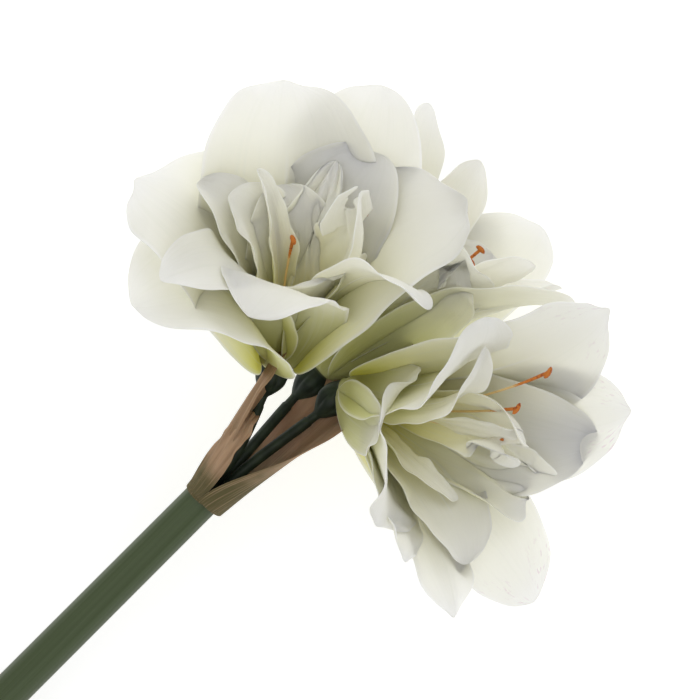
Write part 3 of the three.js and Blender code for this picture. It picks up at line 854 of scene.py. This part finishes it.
def rounded_line(points, count):
    """A centripetal Catmull-Rom line through the points, resampled at even steps."""
    points = [np.asarray(p, float) for p in points]
    ends = [2 * points[0] - points[1], *points, 2 * points[-1] - points[-2]]
    run = []
    for a, b, c, d in zip(ends, ends[1:], ends[2:], ends[3:]):
        gaps = [math.sqrt(np.linalg.norm(q - p)) for p, q in ((a, b), (b, c), (c, d))]
        slope_b = (b - a) / gaps[0] - (c - a) / (gaps[0] + gaps[1]) + (c - b) / gaps[1]
        slope_c = (c - b) / gaps[1] - (d - b) / (gaps[1] + gaps[2]) + (d - c) / gaps[2]
        slope_b, slope_c = slope_b * gaps[1], slope_c * gaps[1]
        t = np.linspace(0, 1, 40, endpoint=False)[:, None]
        run.append(
            b * (2 * t**3 - 3 * t**2 + 1)
            + slope_b * (t**3 - 2 * t**2 + t)
            + c * (3 * t**2 - 2 * t**3)
            + slope_c * (t**3 - t**2)
        )
    dense = np.concatenate([*run, points[-1][None]])
    travelled = np.concatenate([[0], np.cumsum(np.linalg.norm(np.diff(dense, axis=0), axis=1))])
    even = np.linspace(0, travelled[-1], count)
    line = np.stack([np.interp(even, travelled, dense[:, k]) for k in range(3)], 1)
    return line, even


def stalk_line(name, bloom):
    """The line of one flower's stalk, ovary and cone, with how thick it is along the way."""
    around = flower_frame(bloom)
    leave = SCAPE.place(*bloom["foot"], STALK_START)
    ovary_axis = unit(bloom["ovary"])
    ovary_foot = around.origin - ovary_axis * OVARY["length"]
    cone_tip = around.place(0, 0, CONE["height"])
    bends = [leave, leave + SCAPE.up * STALK_RUN, ovary_foot, around.origin, cone_tip]
    line, even = rounded_line(bends, STALK_STEPS)
    past = even - (even[-1] - CONE["height"])
    swelling = np.sin(math.pi * np.clip((past + OVARY["length"]) / OVARY["length"], 0, 1))
    neck = smooth(past, -OVARY["length"], 0) * (CONE["foot"] - STALK_RADIUS)
    below = STALK_RADIUS + neck * NECK + OVARY["swell"] * swelling
    sleeve = 0.45 * smooth(past, -OVARY["length"] - 6, -OVARY["length"] - 5.2)
    below = below - sleeve * (1 - smooth(past, -OVARY["length"] - 1, -OVARY["length"] + 2))
    cone = CONE["foot"] + (CONE["tip"] - CONE["foot"]) * np.clip(past / CONE["height"], 0, 1)
    radii = np.where(past > 0, cone, below)
    extra = {"swelling": swelling, "cone": smooth(past, -0.5, 0.5)}
    return line_object(name, [line], radii, extra)


def stamen_lines(name, bloom):
    """The lines of one flower's filaments and anthers, with how thick and how dusted they are."""
    around = flower_frame(bloom)
    root = around.place(0, 0, CONE["height"] + 2)
    runs, radii, dusted = [], [], []
    base = np.array([around.place(0, 0, CONE["height"] + h) for h in (0.5, 1.6, 2.9, 4.0)])
    runs.append(base)
    radii += [1.3, 1.6, 1.5, 0.9]
    dusted += [0, 0, 0, 0]
    for bend, end in bloom["stamens"]:
        t = np.linspace(0, 1, 28)[:, None]
        tip = around.place(*end)
        run = root * (1 - t) ** 2 + 2 * around.place(*bend) * t * (1 - t) + tip * t**2
        runs.append(run)
        radii += list(0.55 + 0.25 * smooth(t[:, 0], 0.8, 1))
        dusted += list(smooth(t[:, 0], 0.74, 0.95))
        across = around.outward(end[0])
        reach = np.linspace(-1, 1, 12)
        arch = 0.5 * (1 - reach**2)
        runs.append(tip + across * reach[:, None] * 3.2 + around.up * arch[:, None])
        radii += list(1.15 * np.sqrt(1.02 - reach**2))
        dusted += [1.0] * 12
    return line_object(name, runs, radii, {"dusted": dusted})


def scape_mesh(name, material):
    """The hollow scape: skin, cut end, inner wall and the solid roof of its hollow."""
    top, cut, hollow = (SCAPE_RADIUS[key] for key in ("top", "cut", "hollow"))
    roof = SCAPE_ROOF + hollow * 0.6
    bevel = 0.5
    profile = [(0.02, 0.0, 0), (top - 1.2, 0.0, 0), (top - 0.3, -0.3, 0), (top, -1.2, 0)]
    profile += [(top + (cut - top) * k / 60, -SCAPE_LENGTH * k / 60, 0) for k in range(1, 60)]
    profile += [
        (cut, -SCAPE_LENGTH + bevel, 0),
        (cut - bevel * 0.3, -SCAPE_LENGTH + bevel * 0.3, 0),
        (cut - bevel, -SCAPE_LENGTH, 1),
        (hollow + bevel, -SCAPE_LENGTH, 1),
        (hollow, -SCAPE_LENGTH + bevel, 1),
        (hollow, -SCAPE_LENGTH * 0.6, 1),
        (hollow, -roof, 1),
        (hollow * 0.6, -SCAPE_ROOF - 0.8, 1),
        (0.02, -SCAPE_ROOF, 1),
    ]
    sides = 96
    angles = np.linspace(0, 360, sides, endpoint=False)
    out = SCAPE.outward(angles)
    flutes = 1 + 0.006 * np.sin(np.radians(angles * 9)) + 0.004 * np.sin(np.radians(angles * 23 + 40))
    rings = [
        SCAPE.origin + SCAPE.up * height + out * (radius * flutes)[:, None] for radius, height, _ in profile
    ]
    points = np.concatenate(rings)
    faces = []
    for j in range(len(profile) - 1):
        for i in range(sides):
            a, b = j * sides + i, j * sides + (i + 1) % sides
            faces.append((a, a + sides, b + sides, b))
    last = (len(profile) - 1) * sides
    faces.append(tuple(range(sides)))
    faces.append(tuple(last + i for i in reversed(range(sides))))
    heights = np.repeat([height for _, height, _ in profile], sides)
    turn = np.abs(angles / 180 - 1)
    weave = np.stack([np.tile(turn, len(profile)), heights / -SCAPE_LENGTH], 1)
    pith = np.repeat([inside for _, _, inside in profile], sides)
    return piece_from(name, points, faces, material, weave, {"pith": pith})


# ---------------------------------------------------------------- what a user may change


def colour_property(name, default, description):
    """A colour setting, in linear light."""
    return bpy.props.FloatVectorProperty(
        name=name, description=description, subtype="COLOR", size=3, min=0, max=1, default=default
    )


class AmaryllisLook(bpy.types.PropertyGroup):
    """Colours and light of the flower stem."""

    petal: colour_property("Petal", (0.86, 0.85, 0.75), "Open part of the petals")
    ivory: colour_property("Ivory", (0.85, 0.83, 0.62), "Middle of the petals")
    glow: colour_property("Glow", (0.84, 0.80, 0.42), "Lower inner face of the petals")
    throat: colour_property("Throat", (0.78, 0.73, 0.14), "Inner face at the claw")
    claw: colour_property("Claw", (0.50, 0.50, 0.17), "Outer face at the claw")
    sap: colour_property("Sap", (0.70, 0.71, 0.36), "Outer face above the claw")
    vein: colour_property("Vein", (0.78, 0.79, 0.64), "Veins of the petals")
    # Rim: the paler midribs, and the painted highlight along petal edges and tips.
    rim: colour_property("Rim", (0.90, 0.90, 0.86), "Edges and midribs of the petals")
    blush: colour_property("Blush", (0.55, 0.25, 0.42), "Speckles near some tips")
    scape: colour_property("Scape", (0.066, 0.094, 0.038), "Skin of the scape")
    scape_dark: colour_property("Scape Shade", (0.046, 0.069, 0.021), "Darker bands of the scape")
    scape_pale: colour_property("Scape Streak", (0.11, 0.14, 0.075), "Pale streaks of the scape")
    pith: colour_property("Pith", (0.42, 0.46, 0.26), "Cut end and inner wall of the scape")
    stalk: colour_property("Stalk", (0.012, 0.022, 0.012), "Flower stalks and ovaries")
    stalk_pale: colour_property("Stalk Light", (0.028, 0.045, 0.024), "Lighter patches of the stalks")
    paper: colour_property("Paper", (0.44, 0.29, 0.18), "Dry spathe")
    paper_dark: colour_property("Paper Shade", (0.30, 0.19, 0.11), "Darker bands of the spathe")
    olive: colour_property("Olive", (0.105, 0.09, 0.035), "Foot of the spathe")
    fibre: colour_property("Fibre", (0.46, 0.31, 0.19), "Pale fibres of the spathe")
    filament: colour_property("Filament", (0.78, 0.55, 0.25), "Stamen filaments")
    pollen: colour_property("Pollen", (0.62, 0.2, 0.03), "Pollen on the anthers")
    pollen_dark: colour_property("Old Pollen", (0.3, 0.05, 0.012), "Darkest patches of the anthers")
    floor: colour_property("Floor", (0.82, 0.82, 0.82), "Surface that the stem lies on")
    olive_until: bpy.props.FloatProperty(
        name="Olive Until",
        description="How far up the spathe its olive foot reaches",
        subtype="FACTOR",
        default=0.3,
        min=0,
        max=1,
    )
    floor_glow: bpy.props.FloatProperty(
        name="Floor Glow", description="How brightly the surface shines by itself", default=0.5, min=0, max=2
    )
    key_light: bpy.props.FloatProperty(
        name="Key Light", description="Power of the large soft light", subtype="POWER", default=3.2, min=0
    )
    fill_light: bpy.props.FloatProperty(
        name="Fill Light", description="Power of the broad light above", subtype="POWER", default=3, min=0
    )
    sky: bpy.props.FloatProperty(
        name="Sky", description="Brightness of the even light all round", default=0.62, min=0, max=4
    )
    eye_height: bpy.props.FloatProperty(
        name="Eye Height", description="Camera above the stem", subtype="DISTANCE", default=1.4, min=0.1
    )
    lens: bpy.props.FloatProperty(
        name="Lens", description="Focal length of the camera in millimetres", default=144, min=10, max=400
    )


def look():
    """The colours and light that the panel shows."""
    return bpy.context.scene.amaryllis_look


# ---------------------------------------------------------------- operators


class AMARYLLIS_OT_scape(bpy.types.Operator):
    """Build the hollow scape"""

    bl_idname = "amaryllis.scape"
    bl_label = "Scape"
    bl_options = {"REGISTER", "UNDO"}

    def execute(self, context):
        finished(scape_mesh("scape_skin", scape_skin(look())), "scape")
        return {"FINISHED"}


class AMARYLLIS_OT_spathe(bpy.types.Operator):
    """Build the papery valves at the foot of the umbel"""

    bl_idname = "amaryllis.spathe"
    bl_label = "Spathe"
    bl_options = {"REGISTER", "UNDO"}

    def execute(self, context):
        paper = spathe_paper(look())
        for index, (name, valve) in enumerate(VALVES.items()):
            ring = VALVE_RINGS[valve["ring"]]
            piece = sheet_piece(f"paper_{name}", SCAPE, ring, valve, paper, 700 + index)
            finished(piece, f"spathe_{name}")
        return {"FINISHED"}


class AMARYLLIS_OT_stalks(bpy.types.Operator):
    """Build each flower's stalk, ribbed ovary and cone"""

    bl_idname = "amaryllis.stalks"
    bl_label = "Stalks and Ovaries"
    bl_options = {"REGISTER", "UNDO"}

    def execute(self, context):
        green = stalk_green(look())
        shaping = stalk_shaping()
        for name, bloom in BLOOMS.items():
            source = stalk_line(f"{name}_line", bloom)
            values = {
                "Sides": 48,
                "Ribs": OVARY["ribs"],
                "Rib Depth": OVARY["rib_depth"] * 1.6,
                "Material": green,
            }
            piece = shaping.run(source, f"{name}_stalk", values)
            finished(piece, f"{name}_flower_stalk")
        return {"FINISHED"}


class AMARYLLIS_OT_stamens(bpy.types.Operator):
    """Build the stamens with their pollen"""

    bl_idname = "amaryllis.stamens"
    bl_label = "Stamens"
    bl_options = {"REGISTER", "UNDO"}

    def execute(self, context):
        dust = stamen_dust(look())
        shaping = stamen_shaping()
        for index, (name, bloom) in enumerate(BLOOMS.items()):
            source = stamen_lines(f"{name}_filaments", bloom)
            values = {
                "Sides": 10,
                "Grain Size": 0.00022,
                "Grain Density": 6.0e6,
                "Seed": index,
                "Material": dust,
            }
            piece = shaping.run(source, f"{name}_anthers", values)
            finished(piece, f"{name}_stamens")
        return {"FINISHED"}


class AMARYLLIS_OT_petals(bpy.types.Operator):
    """Build every petal of the three flowers"""

    bl_idname = "amaryllis.petals"
    bl_label = "Petals"
    bl_options = {"REGISTER", "UNDO"}

    def execute(self, context):
        silk = petal_silk(look())
        seed = 1
        for bloom_name, bloom in BLOOMS.items():
            around = flower_frame(bloom)
            for name, shape in bloom["petals"].items():
                ring = RINGS[shape["ring"]]
                piece = sheet_piece(f"{bloom_name}_{name}", around, ring, shape, silk, seed)
                finished(piece, f"{bloom_name}_petal_{name}")
                seed += 1
        return {"FINISHED"}


class AMARYLLIS_OT_stage(bpy.types.Operator):
    """Set the floor, the lights and the camera"""

    bl_idname = "amaryllis.stage"
    bl_label = "Stage"
    bl_options = {"REGISTER", "UNDO"}

    def execute(self, context):
        scene = context.scene
        settings = look()
        scene.view_settings.view_transform = "Standard"
        centre = Vector(to_part([(0.0, 0.0, 0.0)])[0])

        reach = 6.0
        mesh = bpy.data.meshes.new("floor")
        corners = [(-reach, -reach, 0), (reach, -reach, 0), (reach, reach, 0), (-reach, reach, 0)]
        mesh.from_pydata(corners, [], [(0, 1, 2, 3)])
        mesh.materials.append(plain_floor(settings))
        floor = bpy.data.objects.new("floor", mesh)
        scene.collection.objects.link(floor)

        world = bpy.data.worlds.new("studio")
        world.use_nodes = True
        world.node_tree.nodes["Background"].inputs["Color"].default_value = (1.0, 1.0, 1.0, 1.0)
        world.node_tree.nodes["Background"].inputs["Strength"].default_value = settings.sky
        scene.world = world

        for name, place, size, power in (
            ("key", (300.0, 900.0, 1000.0), 0.9, settings.key_light),
            ("fill", (-350.0, -250.0, 1500.0), 1.4, settings.fill_light),
        ):
            lamp = bpy.data.lights.new(name, "AREA")
            lamp.size = size
            lamp.energy = power
            light = bpy.data.objects.new(name, lamp)
            light.location = Vector(to_part([place])[0])
            light.rotation_euler = (centre - light.location).to_track_quat("-Z", "Y").to_euler()
            scene.collection.objects.link(light)

        camera_data = bpy.data.cameras.new("eye")
        camera_data.lens = settings.lens
        camera_data.sensor_width = 36
        camera = bpy.data.objects.new("eye", camera_data)
        camera.location = centre + Vector((0, 0, settings.eye_height))
        camera.rotation_euler = (0, 0, math.radians(-SCAPE_HEADING))
        scene.collection.objects.link(camera)
        scene.camera = camera
        return {"FINISHED"}


STEPS = (
    AMARYLLIS_OT_scape,
    AMARYLLIS_OT_spathe,
    AMARYLLIS_OT_stalks,
    AMARYLLIS_OT_stamens,
    AMARYLLIS_OT_petals,
    AMARYLLIS_OT_stage,
)


class AMARYLLIS_PT_panel(bpy.types.Panel):
    """Steps and colours of the flower stem"""

    bl_label = "Double Amaryllis Stem"
    bl_idname = "AMARYLLIS_PT_panel"
    bl_space_type = "VIEW_3D"
    bl_region_type = "UI"
    bl_category = "Amaryllis"

    def draw(self, context):
        for step in STEPS:
            self.layout.operator(step.bl_idname)
        for name in AmaryllisLook.__annotations__:
            self.layout.prop(context.scene.amaryllis_look, name)


CLASSES = (AmaryllisLook, *STEPS, AMARYLLIS_PT_panel)


def register():
    """Makes the classes known, and gives the scene its settings."""
    for cls in CLASSES:
        bpy.utils.register_class(cls)
    bpy.types.Scene.amaryllis_look = bpy.props.PointerProperty(type=AmaryllisLook)


def unregister():
    """Takes the settings and classes away again."""
    del bpy.types.Scene.amaryllis_look
    for cls in reversed(CLASSES):
        bpy.utils.unregister_class(cls)


def main():
    """Builds the whole stem."""
    register()
    bpy.ops.amaryllis.scape()
    bpy.ops.amaryllis.spathe()
    bpy.ops.amaryllis.stalks()
    bpy.ops.amaryllis.stamens()
    bpy.ops.amaryllis.petals()
    bpy.ops.amaryllis.stage()


if __name__ == "__main__":
    main()
